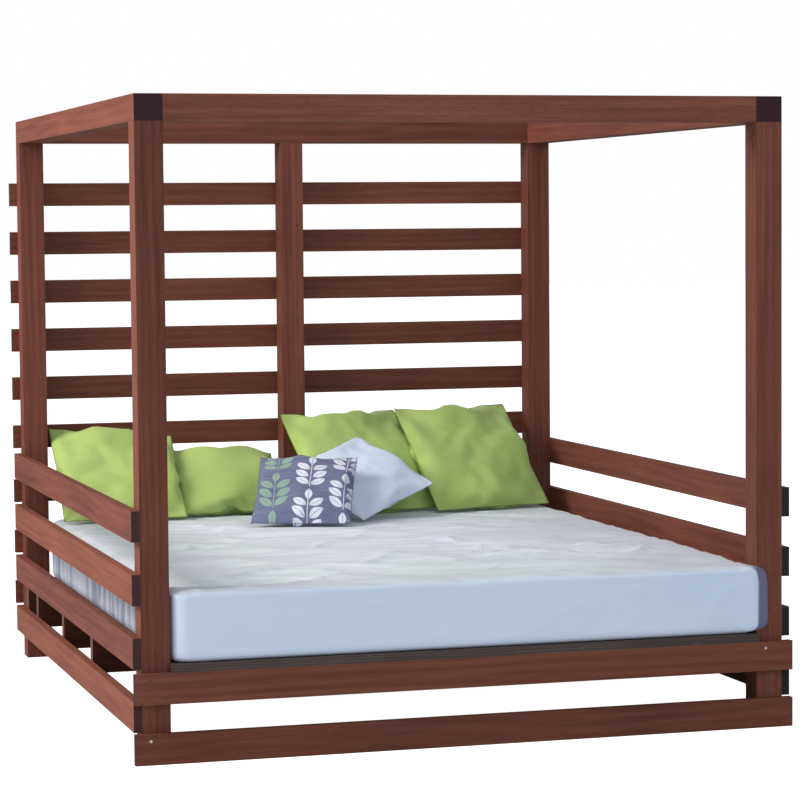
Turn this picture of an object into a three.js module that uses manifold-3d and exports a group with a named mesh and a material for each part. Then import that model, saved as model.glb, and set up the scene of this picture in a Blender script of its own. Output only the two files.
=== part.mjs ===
// An outdoor daybed in stained hardwood with an open canopy frame, a sheeted mattress and six loose cushions.
// Millimetres. +X is to the right of someone facing the bed, +Y is towards its slatted back, +Z is up.
// The origin is on the floor, below the middle of the bed.
import * as THREE from 'three';
import { mergeVertices } from 'three/addons/utils/BufferGeometryUtils.js';
import Module from 'manifold-3d';

const wasm = await Module();
wasm.setup();

// Mattress, which the frame is built round
const mattressWidth = 1830;
const mattressLength = 2154;
const mattressHeight = 216;
const mattressCrown = 10;
const mattressCorner = 50;
const mattressEdge = 26;
const mattressDrawIn = 6;
const mattressSideGap = 1;
const mattressRearGap = 12;
const mattressOverhang = 20;

// Timber sections
const postWidth = 84;
const beamHeight = 78;
const boardThickness = 25;
const boardHeight = 90;
const slatHeight = 82;
const joistThickness = 40;
const joistHeight = 120;
const ledgerWidth = 45;
const ledgerHeight = 42;
const deckThickness = 25;

// Heights above the floor, and spacings
const frameHeight = 1930;
const upperFrontRailBottom = 175;
const lowestSideRailBottom = 93;
const sideRailPitch = 184;
const sideRailCount = 4;
const upperSlatGap = 18;
const topSlatDrop = 220;
const upperSlatCount = 6;
const firstJoistSetback = 823;
const rearJoistGap = 179;
const joistCount = 3;
const deckSeamOffset = 42;
const fitGap = 0.3;
const restGap = 0.4;

// Screws that hold the front rails to the front posts
const screwHeadRadius = 4.5;
const screwHeadHeight = 3;
const screwShankRadius = 2.5;
const screwLength = 60;
const screwClearance = 0.3;
const screwInset = 20;
const screwSides = 16;
const drillOverrun = 1;

// Cushions. Their sizes are shares of the mattress's width, so that the row still fits between the posts
const seamThickness = 8;
const cushionSteps = 12;
const leftCushionSize = mattressWidth * 0.2432;
const smallCushionWidth = mattressWidth * 0.2186;
const smallCushionHeight = mattressWidth * 0.184;
const rightCushionSize = mattressWidth * 0.2623;
const diamondCushionSize = mattressWidth * 0.208;
const printedCushionSize = mattressWidth * 0.1885;
const greenCushionThickness = 130;
const diamondCushionThickness = 100;
const printedCushionThickness = 105;
const leftCushionMargin = 12;
const rightCushionMargin = 3;
const leftCushionOverlap = 12;
const rightCushionOverlap = 47;
const cornerDrawShare = 0.05;
const swellExponent = 0.42;

// Sizes worked out from those above
const frameWidth = mattressWidth + (mattressSideGap + postWidth) * 2;
const frameDepth = mattressLength - mattressOverhang + mattressRearGap + postWidth;
const halfWidth = frameWidth / 2;
const halfDepth = frameDepth / 2;
const postHeight = frameHeight - beamHeight;
const innerHalfWidth = halfWidth - postWidth;
const backPostFront = halfDepth - postWidth;
const deckUnderside = upperFrontRailBottom + boardHeight;
const deckTop = deckUnderside + deckThickness;
const joistBottom = deckUnderside - joistHeight;
const sideRailsTop = lowestSideRailBottom + (sideRailCount - 1) * sideRailPitch + boardHeight;
const mattressBottom = deckTop + fitGap;
const mattressFront = -halfDepth - mattressOverhang;
const mattressMiddle = mattressFront + mattressLength / 2;

const timberRoughness = 0.6;
const clothRoughness = 0.9;
const steelRoughness = 0.4;
const colours = {
  post: 0x6e4039,
  beam: 0x743f36,
  rail: 0x7f4636,
  slat: 0x643730,
  joist: 0x3f2722,
  deck: 0x55483c,
  sheet: 0xc9d4e3,
  green: 0x9fbf5e,
  pale: 0xb9c5e1,
  slate: 0x5d6486,
  steel: 0xb8a48e,
};

const daybed = new THREE.Group();

function material(colour, roughness, metalness) {
  return new THREE.MeshStandardMaterial({ color: colour, roughness: roughness, metalness: metalness });
}

function addMesh(name, geometry, colour, roughness = timberRoughness, metalness = 0) {
  const mesh = new THREE.Mesh(geometry, material(colour, roughness, metalness));
  mesh.name = name;
  daybed.add(mesh);
  return mesh;
}

// A board between two corners, each given as [x, y, z]
function board(low, high) {
  const size = low.map((value, axis) => high[axis] - value);
  const geometry = new THREE.BoxGeometry(...size);
  geometry.translate(...low.map((value, axis) => value + size[axis] / 2));
  return geometry;
}

function toSolid(geometry) {
  const bare = geometry.clone();
  bare.deleteAttribute('normal');
  bare.deleteAttribute('uv');
  const merged = mergeVertices(bare);
  const mesh = new wasm.Mesh({
    numProp: 3,
    vertProperties: new Float32Array(merged.attributes.position.array),
    triVerts: new Uint32Array(merged.index.array),
  });
  return new wasm.Manifold(mesh);
}

function toGeometry(solid) {
  const mesh = solid.getMesh();
  const geometry = new THREE.BufferGeometry();
  geometry.setAttribute('position', new THREE.BufferAttribute(new Float32Array(mesh.vertProperties), 3));
  geometry.setIndex(new THREE.BufferAttribute(new Uint32Array(mesh.triVerts), 1));
  return geometry;
}

function cut(geometry, cutters) {
  let solid = toSolid(geometry);
  for (const cutter of cutters) {
    solid = solid.subtract(toSolid(cutter));
  }
  return toGeometry(solid);
}

// The turned outline of a flat-headed screw, head at zero and point along +Y, grown by a clearance all round
function screwTurning(clearance, top) {
  const headRadius = screwHeadRadius + clearance;
  const shankRadius = screwShankRadius + clearance;
  const neck = screwHeadHeight + clearance;
  const end = screwLength + clearance;
  const rim = top > 0 ? [[0, -top], [headRadius, -top], [headRadius, 0]] : [[0, 0], [headRadius, 0]];
  const outline = [
    ...rim,
    [shankRadius, neck],
    [shankRadius, end],
    [0, end],
  ];
  const points = outline.map(([radius, along]) => new THREE.Vector2(radius, along));
  return new THREE.LatheGeometry(points, screwSides);
}

// The two screws of one crossing lie on its diagonal: [x, z] from the crossing's low corner
function crossingScrews(postLeft, railBottom) {
  return [
    [postLeft + screwInset, railBottom + boardHeight - screwInset],
    [postLeft + postWidth - screwInset, railBottom + screwInset],
  ];
}

function screwsOnRail(railBottom) {
  return [-halfWidth, innerHalfWidth].flatMap((postLeft) => crossingScrews(postLeft, railBottom));
}

const frontRailBottoms = [0, upperFrontRailBottom];
const screwPlaces = frontRailBottoms.flatMap(screwsOnRail);
const railFace = -halfDepth - boardThickness;

function drillings() {
  return screwPlaces.map(([x, z]) => screwTurning(screwClearance, drillOverrun).translate(x, railFace, z));
}

function makePosts() {
  const corners = [
    ['post_front_left', -halfWidth, -halfDepth],
    ['post_front_right', innerHalfWidth, -halfDepth],
    ['post_back_left', -halfWidth, backPostFront],
    ['post_back_middle', -postWidth / 2, backPostFront],
    ['post_back_right', innerHalfWidth, backPostFront],
  ];
  for (const [name, left, front] of corners) {
    const plain = board([left, front, 0], [left + postWidth, front + postWidth, postHeight]);
    const drilled = front < 0 ? cut(plain, drillings()) : plain;
    addMesh(name, drilled, colours.post);
  }
}

function makeTopFrame() {
  for (const [name, left] of [['beam_left', -halfWidth], ['beam_right', innerHalfWidth]]) {
    const low = [left, -halfDepth, postHeight];
    addMesh(name, board(low, [left + postWidth, halfDepth, frameHeight]), colours.beam);
  }
  for (const [name, front] of [['beam_front', -halfDepth], ['beam_back', backPostFront]]) {
    const low = [-innerHalfWidth, front, postHeight];
    addMesh(name, board(low, [innerHalfWidth, front + postWidth, frameHeight]), colours.beam);
  }
}

function makeFrontRails() {
  const names = ['front_rail_lower', 'front_rail_upper'];
  frontRailBottoms.forEach((bottom, index) => {
    const low = [-halfWidth - boardThickness, railFace, bottom];
    const high = [halfWidth + boardThickness, -halfDepth, bottom + boardHeight];
    addMesh(names[index], cut(board(low, high), drillings()), colours.rail);
  });
  screwPlaces.forEach(([x, z], index) => {
    const screw = screwTurning(0, 0).translate(x, railFace, z);
    addMesh(`front_rail_screw_${index + 1}`, screw, colours.steel, steelRoughness, 1);
  });
}

function makeSideRails() {
  for (const [side, left] of [['left', -halfWidth - boardThickness], ['right', halfWidth]]) {
    for (let index = 0; index < sideRailCount; index += 1) {
      const bottom = lowestSideRailBottom + index * sideRailPitch;
      const rail = board([left, -halfDepth, bottom], [left + boardThickness, halfDepth, bottom + boardHeight]);
      addMesh(`side_rail_${side}_${index + 1}`, rail, colours.rail);
    }
  }
}

// The lowest slats lie level with the gaps between the side rails, and the rest are spaced evenly above them
function slatMiddles() {
  const middles = [];
  for (let index = 1; index < sideRailCount; index += 1) {
    middles.push(lowestSideRailBottom + (index - 1) * sideRailPitch + (boardHeight + sideRailPitch) / 2);
  }
  const lowest = sideRailsTop + upperSlatGap + slatHeight / 2;
  const highest = frameHeight - topSlatDrop - slatHeight / 2;
  for (let index = 0; index < upperSlatCount; index += 1) {
    middles.push(lowest + index * (highest - lowest) / (upperSlatCount - 1));
  }
  return middles;
}

function makeSlats() {
  const reach = halfWidth + boardThickness;
  slatMiddles().forEach((middle, index) => {
    const low = [-reach, halfDepth, middle - slatHeight / 2];
    const high = [reach, halfDepth + boardThickness, middle + slatHeight / 2];
    addMesh(`back_slat_${index + 1}`, board(low, high), colours.slat);
  });
}

function makeDeck() {
  for (const [side, left] of [['left', -halfWidth], ['right', halfWidth - ledgerWidth]]) {
    const low = [left, -halfDepth + postWidth, joistBottom - ledgerHeight];
    addMesh(`ledger_${side}`, board(low, [left + ledgerWidth, backPostFront, joistBottom]), colours.joist);
  }
  // The rear joist stands against the back posts, and the others are spaced evenly from it to the first
  const rearFront = backPostFront - joistThickness;
  const firstFront = -halfDepth + firstJoistSetback - joistThickness / 2;
  const thirdFront = rearFront - rearJoistGap - joistThickness;
  const fronts = Array.from({ length: joistCount }, (_, index) => {
    return firstFront + index * (thirdFront - firstFront) / (joistCount - 1);
  });
  fronts.push(rearFront);
  fronts.forEach((front, index) => {
    const low = [-halfWidth, front, joistBottom];
    addMesh(`joist_${index + 1}`, board(low, [halfWidth, front + joistThickness, deckUnderside]), colours.joist);
  });
  const panels = [
    ['deck_panel_left', -innerHalfWidth, deckSeamOffset],
    ['deck_panel_right', deckSeamOffset, innerHalfWidth],
  ];
  for (const [name, left, right] of panels) {
    addMesh(name, board([left, railFace, deckUnderside], [right, backPostFront, deckTop]), colours.deck);
  }
}

// A rectangle with round corners, drawn in evenly from its full size, as a ring of points
function roundedRing(drawIn, height, cornerSteps = 4, sideSteps = 8) {
  const halfX = mattressWidth / 2 - drawIn;
  const halfY = mattressLength / 2 - drawIn;
  const radius = Math.max(mattressCorner - drawIn, mattressCorner / 2);
  const ring = [];
  for (const [quarter, signX, signY] of [[0, 1, 1], [1, -1, 1], [2, -1, -1], [3, 1, -1]]) {
    for (let step = 0; step <= cornerSteps; step += 1) {
      const angle = (quarter + step / cornerSteps) * Math.PI / 2;
      const x = signX * (halfX - radius) + radius * Math.cos(angle);
      const y = signY * (halfY - radius) + radius * Math.sin(angle);
      ring.push(new THREE.Vector3(x, mattressMiddle + y, height));
    }
    const corner = ring[ring.length - 1];
    const nextX = quarter % 2 === 0 ? -corner.x : corner.x;
    const nextY = quarter % 2 === 0 ? corner.y : 2 * mattressMiddle - corner.y;
    const next = new THREE.Vector3(nextX, nextY, height);
    for (let step = 1; step < sideSteps; step += 1) {
      ring.push(corner.clone().lerp(next, step / sideSteps));
    }
  }
  return ring;
}

// Height of the mattress's top at a place: a low crown that falls away to the rounded edge
function crownHeight(x, y) {
  const across = Math.min(Math.abs(x) / (mattressWidth / 2), 1);
  const along = Math.min(Math.abs(y - mattressMiddle) / (mattressLength / 2), 1);
  return mattressCrown * (1 - across ** 2) * (1 - along ** 2);
}

// Closes a stack of equal rings with a fan at each end
function skinRings(rings, bottomPoint, topPoint) {
  const count = rings[0].length;
  const points = [...rings.flat(), bottomPoint, topPoint];
  const bottomIndex = points.length - 2;
  const topIndex = points.length - 1;
  const faces = [];
  for (let side = 0; side < count; side += 1) {
    const next = (side + 1) % count;
    faces.push(bottomIndex, next, side);
    for (let level = 0; level < rings.length - 1; level += 1) {
      const low = level * count;
      const high = low + count;
      faces.push(low + side, low + next, high + next);
      faces.push(low + side, high + next, high + side);
    }
    const last = (rings.length - 1) * count;
    faces.push(last + side, last + next, topIndex);
  }
  const geometry = new THREE.BufferGeometry().setFromPoints(points);
  geometry.setIndex(faces);
  geometry.computeVertexNormals();
  return geometry;
}

function makeMattress() {
  const edgeSteps = 4;
  const rings = [];
  for (let step = 0; step <= edgeSteps; step += 1) {
    const angle = (step / edgeSteps) * Math.PI / 2;
    const drawIn = mattressDrawIn + mattressEdge * (1 - Math.sin(angle));
    rings.push(roundedRing(drawIn, mattressBottom + mattressEdge * (1 - Math.cos(angle))));
  }
  rings.push(roundedRing(0, mattressBottom + mattressHeight / 2));
  for (let step = 0; step <= edgeSteps; step += 1) {
    const angle = (step / edgeSteps) * Math.PI / 2;
    const drawIn = mattressDrawIn + mattressEdge * (1 - Math.cos(angle));
    const height = mattressBottom + mattressHeight - mattressEdge * (1 - Math.sin(angle));
    rings.push(roundedRing(drawIn, height));
  }
  const crownShares = [0.15, 0.35, 0.6, 0.85];
  const topRing = rings[rings.length - 1];
  for (const share of crownShares) {
    rings.push(topRing.map((point) => {
      const x = point.x * (1 - share);
      const y = mattressMiddle + (point.y - mattressMiddle) * (1 - share);
      return new THREE.Vector3(x, y, point.z + crownHeight(x, y));
    }));
  }
  const topPoint = new THREE.Vector3(0, mattressMiddle, mattressBottom + mattressHeight + mattressCrown);
  const bottomPoint = new THREE.Vector3(0, mattressMiddle, mattressBottom);
  return addMesh('mattress', skinRings(rings, bottomPoint, topPoint), colours.sheet, clothRoughness);
}

// A cushion lying flat: it swells in the middle and its sides are drawn in between pointed corners
function cushionGeometry(width, height, thickness) {
  const points = [];
  const count = cushionSteps + 1;
  for (const face of [1, -1]) {
    for (let row = 0; row < count; row += 1) {
      for (let column = 0; column < count; column += 1) {
        const u = Math.sin((column / cushionSteps - 0.5) * Math.PI);
        const v = Math.sin((row / cushionSteps - 0.5) * Math.PI);
        const x = (width / 2) * u * (1 - cornerDrawShare * (1 - v * v));
        const y = (height / 2) * v * (1 - cornerDrawShare * (1 - u * u));
        const swell = ((1 - u * u) * (1 - v * v)) ** swellExponent;
        const rise = seamThickness / 2 + (thickness - seamThickness) / 2 * swell;
        points.push(new THREE.Vector3(x, y, face * rise));
      }
    }
  }
  const offset = count * count;
  const faces = [];
  for (let row = 0; row < cushionSteps; row += 1) {
    for (let column = 0; column < cushionSteps; column += 1) {
      const a = row * count + column;
      const corners = [a, a + 1, a + count + 1, a + count];
      faces.push(corners[0], corners[1], corners[2], corners[0], corners[2], corners[3]);
      const below = corners.map((corner) => corner + offset);
      faces.push(below[0], below[2], below[1], below[0], below[3], below[2]);
    }
  }
  const last = count - 1;
  for (let step = 0; step < last; step += 1) {
    const pairs = [
      [step, step + 1],
      [step * count + count + last, step * count + last].reverse(),
      [last * count + step + 1, last * count + step],
      [(step + 1) * count, step * count],
    ];
    for (const [from, to] of pairs) {
      faces.push(from, from + offset, to + offset, from, to + offset, to);
    }
  }
  const geometry = new THREE.BufferGeometry().setFromPoints(points);
  geometry.setIndex(faces);
  geometry.computeVertexNormals();
  return geometry;
}

// Turns a flat cushion to stand on its lower edge, leaning back, then turned about the vertical, in degrees.
// Roll turns it in its own plane first.
function leaningTurn(lean, yaw, roll) {
  const radians = THREE.MathUtils.degToRad;
  const turn = new THREE.Matrix4().makeRotationZ(radians(yaw));
  turn.multiply(new THREE.Matrix4().makeRotationX(radians(90 - lean)));
  turn.multiply(new THREE.Matrix4().makeRotationZ(radians(roll)));
  return turn;
}

const upward = new THREE.Vector3(0, 0, 1);
const downward = new THREE.Vector3(0, 0, -1);
const probe = new THREE.Raycaster();

function mattressTopAt(mattress, x, y) {
  probe.set(new THREE.Vector3(x, y, frameHeight), downward);
  const hits = probe.intersectObject(mattress);
  return hits.length > 0 ? hits[0].point.z : deckTop;
}

// How far a geometry has to move along a direction to clear the mattress by the rest gap.
// Points above its lowest one by more than the mattress's top can fall away can't be the first to touch.
function riseToRest(geometry, direction, mattress) {
  geometry.computeBoundingBox();
  const reach = geometry.boundingBox.min.z + mattressCrown + mattressEdge;
  const place = geometry.attributes.position;
  let rise = -Infinity;
  for (let index = 0; index < place.count; index += 1) {
    if (place.getZ(index) < reach) {
      const top = mattressTopAt(mattress, place.getX(index), place.getY(index)) + restGap;
      rise = Math.max(rise, (top - place.getZ(index)) / direction.z);
    }
  }
  return rise;
}

// Moves a cushion along a direction until it rests on the crowned top, in a few passes as the crown changes
function settle(geometry, direction, mattress, passes = 3) {
  for (let pass = 0; pass < passes; pass += 1) {
    const rise = riseToRest(geometry, direction, mattress);
    geometry.translate(direction.x * rise, direction.y * rise, direction.z * rise);
  }
  return geometry;
}

// Slides a piece made by place(distance) towards other solids until it is as near them as the gap.
// It starts from a distance that is clear of them, and each pass halves the range left.
function slideUntilNear(place, far, near, others, gap, passes = 14) {
  let clear = far;
  let close = near;
  for (let pass = 0; pass < passes; pass += 1) {
    const middle = (clear + close) / 2;
    const solid = toSolid(place(middle));
    if (Math.min(...others.map((other) => solid.minGap(other, 2 * gap))) > gap) {
      clear = middle;
    } else {
      close = middle;
    }
  }
  return clear;
}

const leftCushionAcross = -innerHalfWidth + leftCushionMargin + leftCushionSize / 2;
const smallCushionAcross = leftCushionAcross + (leftCushionSize + smallCushionWidth) / 2 - leftCushionOverlap;
const fourthCushionAcross = innerHalfWidth - rightCushionMargin - rightCushionSize / 2;
const thirdCushionAcross = fourthCushionAcross - rightCushionSize + rightCushionOverlap;

// The cushions lean back towards the slats, and the third one towards the middle post.
// The first one's right edge lies over the second one's left edge, and the fourth one's left edge
// over the third one's right edge.
const rowCushions = [
  {
    name: 'cushion_green_1',
    width: leftCushionSize,
    height: leftCushionSize,
    across: leftCushionAcross,
    lean: 46,
    yaw: 0,
    gap: 22.3,
  },
  {
    name: 'cushion_green_2',
    width: smallCushionWidth,
    height: smallCushionHeight,
    across: smallCushionAcross,
    lean: 49,
    yaw: 3,
    gap: 22,
  },
  {
    name: 'cushion_green_3',
    width: rightCushionSize,
    height: rightCushionSize,
    across: thirdCushionAcross,
    lean: 44,
    yaw: 13,
    gap: 20,
  },
  {
    name: 'cushion_green_4',
    width: rightCushionSize,
    height: rightCushionSize,
    across: fourthCushionAcross,
    lean: 42,
    yaw: 14,
    gap: 38,
  },
];

function setBack(spec, setback, mattress) {
  const geometry = cushionGeometry(spec.width, spec.height, greenCushionThickness);
  geometry.translate(0, spec.height / 2, 0);
  geometry.applyMatrix4(leaningTurn(spec.lean, spec.yaw, 0));
  geometry.translate(spec.across, backPostFront - setback, mattressBottom + mattressHeight);
  return settle(geometry, upward, mattress);
}

// A green cushion, slid back over the mattress until it is as near its support as its gap says
function rowCushion(spec, supports, mattress) {
  const place = (setback) => setBack(spec, setback, mattress);
  const setback = slideUntilNear(place, 2 * spec.height, 0, supports, spec.gap);
  return { ...spec, setback: setback, geometry: place(setback) };
}

// A cushion before the third green one: moved across its face and out from it by so much, and slid
// down along it to the mattress
function leanOn(support, spec, outward, mattress) {
  const geometry = cushionGeometry(spec.size, spec.size, spec.thickness);
  geometry.applyMatrix4(leaningTurn(spec.lean, spec.yaw, spec.roll));
  const turn = leaningTurn(support.lean, support.yaw, 0);
  const across = new THREE.Vector3(1, 0, 0).transformDirection(turn);
  const out = new THREE.Vector3(0, 0, 1).transformDirection(turn);
  const slope = new THREE.Vector3(0, 1, 0).transformDirection(turn);
  const start = new THREE.Vector3(support.across, backPostFront - support.setback, mattressBottom + mattressHeight);
  start.addScaledVector(across, spec.along);
  start.addScaledVector(out, outward);
  geometry.translate(start.x, start.y, start.z);
  return settle(geometry, slope, mattress);
}

function leaningCushion(support, spec, touched, mattress) {
  const place = (outward) => leanOn(support, spec, outward, mattress);
  const outward = slideUntilNear(place, 2 * spec.size, 0, touched.map(toSolid), spec.gap);
  return place(outward);
}

const diamondPlace = {
  size: diamondCushionSize,
  thickness: diamondCushionThickness,
  along: -rightCushionSize * 0.245,
  lean: 60,
  yaw: 1,
  roll: 33,
  gap: 1.2,
};
const printedPlace = {
  size: printedCushionSize,
  thickness: printedCushionThickness,
  along: -rightCushionSize * 0.815,
  lean: 53,
  yaw: -21,
  roll: 0,
  gap: 14.3,
};

function makeCushions(mattress) {
  const slats = daybed.children.filter((mesh) => mesh.name.startsWith('back_slat'));
  const middlePost = daybed.getObjectByName('post_back_middle');
  const slatSolids = slats.map((mesh) => toSolid(mesh.geometry));
  const postSolids = [toSolid(middlePost.geometry)];
  const row = rowCushions.map((spec) => {
    const supports = spec.name === 'cushion_green_3' ? postSolids : slatSolids;
    return rowCushion(spec, supports, mattress);
  });
  for (const cushion of row) {
    addMesh(cushion.name, cushion.geometry, colours.green, clothRoughness);
  }
  const support = row[2];
  const diamond = leaningCushion(support, diamondPlace, [support.geometry], mattress);
  addMesh('cushion_diamond', diamond, colours.pale, clothRoughness);
  const printed = leaningCushion(support, printedPlace, [support.geometry, diamond], mattress);
  addMesh('cushion_printed', printed, colours.slate, clothRoughness);
}

makePosts();
makeTopFrame();
makeFrontRails();
makeSideRails();
makeSlats();
makeDeck();
makeCushions(makeMattress());

export default daybed;
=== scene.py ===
# %% [markdown]
# Outdoor daybed with an open canopy frame
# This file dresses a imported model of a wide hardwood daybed. Five posts carry four beams, boards are
# screwed to the outside of the posts, and a mattress with six loose cushions lies inside.
# The rigid boards keep the shape that they have in the model and get grain, end grain and eased edges.
# The soft pieces are made again here, because stuffed or stretched cloth has forms that a plain solid
# lacks.

import math

import bpy
import numpy as np
from mathutils import Matrix, Vector


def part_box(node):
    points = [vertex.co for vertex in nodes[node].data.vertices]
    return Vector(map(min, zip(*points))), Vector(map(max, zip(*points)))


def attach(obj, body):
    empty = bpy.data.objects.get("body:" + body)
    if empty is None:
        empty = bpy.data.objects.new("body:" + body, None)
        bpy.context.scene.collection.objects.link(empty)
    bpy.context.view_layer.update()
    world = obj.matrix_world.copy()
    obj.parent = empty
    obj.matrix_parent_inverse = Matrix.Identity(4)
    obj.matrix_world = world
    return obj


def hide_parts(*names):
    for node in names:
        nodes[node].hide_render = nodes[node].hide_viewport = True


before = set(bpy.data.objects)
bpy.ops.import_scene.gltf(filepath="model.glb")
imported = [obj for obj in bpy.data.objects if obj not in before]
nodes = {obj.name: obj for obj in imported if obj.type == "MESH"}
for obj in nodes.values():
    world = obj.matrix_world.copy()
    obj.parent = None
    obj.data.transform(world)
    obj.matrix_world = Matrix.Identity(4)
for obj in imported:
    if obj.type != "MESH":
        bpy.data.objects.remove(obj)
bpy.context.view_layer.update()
print("nodes in the model:", len(nodes))

# %% [markdown]
# Camera
# The bed was photographed from its left front, a little above the mattress, through a long lens.
# The straight edges of the frame gave the lens and the place: they were matched to the picture, which
# puts the camera about nine metres away. A long lens keeps the far posts nearly as wide as the near ones.

# %% Camera
camera_data = bpy.data.cameras.new("camera")
camera_data.sensor_width = 36.0
camera_data.lens = 127.55
camera = bpy.data.objects.new("camera", camera_data)
bpy.context.scene.collection.objects.link(camera)
camera_place = (-2.5464, -9.1052, 1.5492)
heading = -0.2836
downward = 0.0617
sideways_lean = -0.0085
camera_turn = Matrix.Rotation(heading, 4, "Z")
camera_turn = camera_turn @ Matrix.Rotation(math.pi / 2 - downward, 4, "X")
camera_turn = camera_turn @ Matrix.Rotation(sideways_lean, 4, "Z")
camera.matrix_world = Matrix.Translation(camera_place) @ camera_turn
bpy.context.scene.camera = camera
bpy.context.scene.view_settings.view_transform = "Standard"
print("lens in millimetres:", camera_data.lens)

# %% [markdown]
# Shader maths as Python expressions
# A material is a graph of nodes. Written out link by link it is hard to read, so a small class stands for
# one output of a node, and its operators add the Math nodes. With it, 1 - mask is one line of Python.

# %% A wire that does maths
class Wire:
    """One output of a node. Python's operators on it add Math nodes."""

    def __init__(self, graph, socket):
        self.graph = graph
        self.socket = socket

    def maths(self, operation, *values):
        return self.graph.node("ShaderNodeMath", {"operation": operation}, dict(enumerate(values)))

    def __add__(self, other):
        return self.maths("ADD", self, other)

    def __radd__(self, other):
        return self.maths("ADD", other, self)

    def __sub__(self, other):
        return self.maths("SUBTRACT", self, other)

    def __rsub__(self, other):
        return self.maths("SUBTRACT", other, self)

    def __mul__(self, other):
        return self.maths("MULTIPLY", self, other)

    def __rmul__(self, other):
        return self.maths("MULTIPLY", other, self)

    def __truediv__(self, other):
        return self.maths("DIVIDE", self, other)

    def __rtruediv__(self, other):
        return self.maths("DIVIDE", other, self)

    def __pow__(self, other):
        return self.maths("POWER", self, other)

    def sine(self):
        return self.maths("SINE", self)

    def floor(self):
        return self.maths("FLOOR", self)

    def size(self):
        return self.maths("ABSOLUTE", self)

    def most(self, other):
        return self.maths("MAXIMUM", self, other)

    def left_over(self, step):
        return self.maths("FLOORED_MODULO", self, step)

    def smooth(self, low, high):
        """0 below low, 1 above high, and a soft step between them."""
        sockets = {"Value": self, "From Min": low, "From Max": high}
        return self.graph.node("ShaderNodeMapRange", {"interpolation_type": "SMOOTHSTEP"}, sockets)


# %% [markdown]
# Graphs and materials
# A graph can belong to a material or to the world. One method adds a node from its type, its settings and
# its sockets. The rest are short names for the nodes that come back often. Every finish below starts the
# same way, with a named material and its main shader.

# %% A graph and its nodes
class Graph:
    """A tree of nodes that is built node by node."""

    def __init__(self, tree):
        self.tree = tree

    def put(self, socket, value):
        if isinstance(value, Wire):
            self.tree.links.new(value.socket, socket)
        elif isinstance(value, (tuple, list)) and len(value) == 3 and socket.type == "RGBA":
            socket.default_value = (*value, 1.0)
        else:
            socket.default_value = value

    def node(self, kind, settings=None, sockets=None, output=0):
        made = self.tree.nodes.new(kind)
        settings = dict(settings or {})
        stops = settings.pop("stops", None)
        for setting, value in settings.items():
            setattr(made, setting, value)
        if stops:
            elements = made.color_ramp.elements
            while len(elements) < len(stops):
                elements.new(0.5)
            for element, (place, colour) in zip(elements, stops):
                element.position = place
                element.color = (*colour, 1.0)
        for socket, value in (sockets or {}).items():
            self.put(made.inputs[socket], value)
        return Wire(self, made.outputs[output])

    def place(self):
        """The three coordinates of a point, in the object's own space."""
        point = self.node("ShaderNodeTexCoord", output="Object")
        parts = self.node("ShaderNodeSeparateXYZ", {}, {0: point})
        outputs = parts.socket.node.outputs
        return tuple(Wire(self, outputs[index]) for index in range(3))

    def vector(self, x, y, z):
        return self.node("ShaderNodeCombineXYZ", {}, {0: x, 1: y, 2: z})

    def noise(self, vector, detail=2.0, roughness=0.5):
        sockets = {"Vector": vector, "Scale": 1.0, "Detail": detail, "Roughness": roughness}
        return self.node("ShaderNodeTexNoise", {"noise_dimensions": "3D"}, sockets, "Fac")

    def mixed(self, factor, first, second):
        """A colour between two others."""
        return self.node("ShaderNodeMix", {"data_type": "RGBA"}, {0: factor, 6: first, 7: second}, 2)

    def ramp(self, factor, stops):
        return self.node("ShaderNodeValToRGB", {"stops": stops}, {"Fac": factor}, "Color")


# %% A material
class Finish(Graph):
    """A material and its main shader."""

    def __init__(self, name):
        self.material = bpy.data.materials.new(name)
        self.material.use_nodes = True
        super().__init__(self.material.node_tree)
        self.shader = self.tree.nodes["Principled BSDF"]

    def relief(self, height, depth, strength=1.0):
        """Bumps of so many metres, for the shader's Normal."""
        sockets = {"Height": height, "Distance": depth, "Strength": strength}
        self.put(self.shader.inputs["Normal"], self.node("ShaderNodeBump", {}, sockets))

    def surface(self, **values):
        """Sets the main shader's sockets: base_color stands for Base Color, and so on."""
        for name, value in values.items():
            socket = name.replace("_", " ").title().replace("Ior", "IOR")
            self.put(self.shader.inputs[socket], value)
        return self.material


# %% [markdown]
# Light and floor
# The photo's background is plain white, and its light is soft and comes from the upper left, so that the
# left faces of the side rails are the brightest wood. One large lamp on that side gives it, and a grey blue
# world fills the shadows. The background is made white for the camera alone, without more light on the bed.

# %% Light
def add_lamp(name, energy, size, colour, place, target):
    """A square lamp that points at a target. Energy is in watts, and size is in metres."""
    data = bpy.data.lights.new(name, "AREA")
    data.energy = energy
    data.size = size
    data.color = colour
    lamp = bpy.data.objects.new(name, data)
    bpy.context.scene.collection.objects.link(lamp)
    lamp.location = place
    lamp.rotation_euler = (Vector(target) - Vector(place)).to_track_quat("-Z", "Y").to_euler()


add_lamp("key_lamp", 450.0, 3.0, (1.0, 0.94, 0.87), (-5.9, -0.5, 4.3), (0.0, -0.1, 0.6))
add_lamp("front_lamp", 84.0, 3.5, (0.93, 0.97, 1.0), (0.5, -6.5, 3.0), (0.0, 0.0, 0.6))
add_lamp("ceiling_lamp", 22.0, 4.0, (0.97, 0.98, 1.0), (0.3, -1.2, 5.6), (0.0, 0.0, 0.5))
print("lamps:", len(bpy.data.lights))

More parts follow.
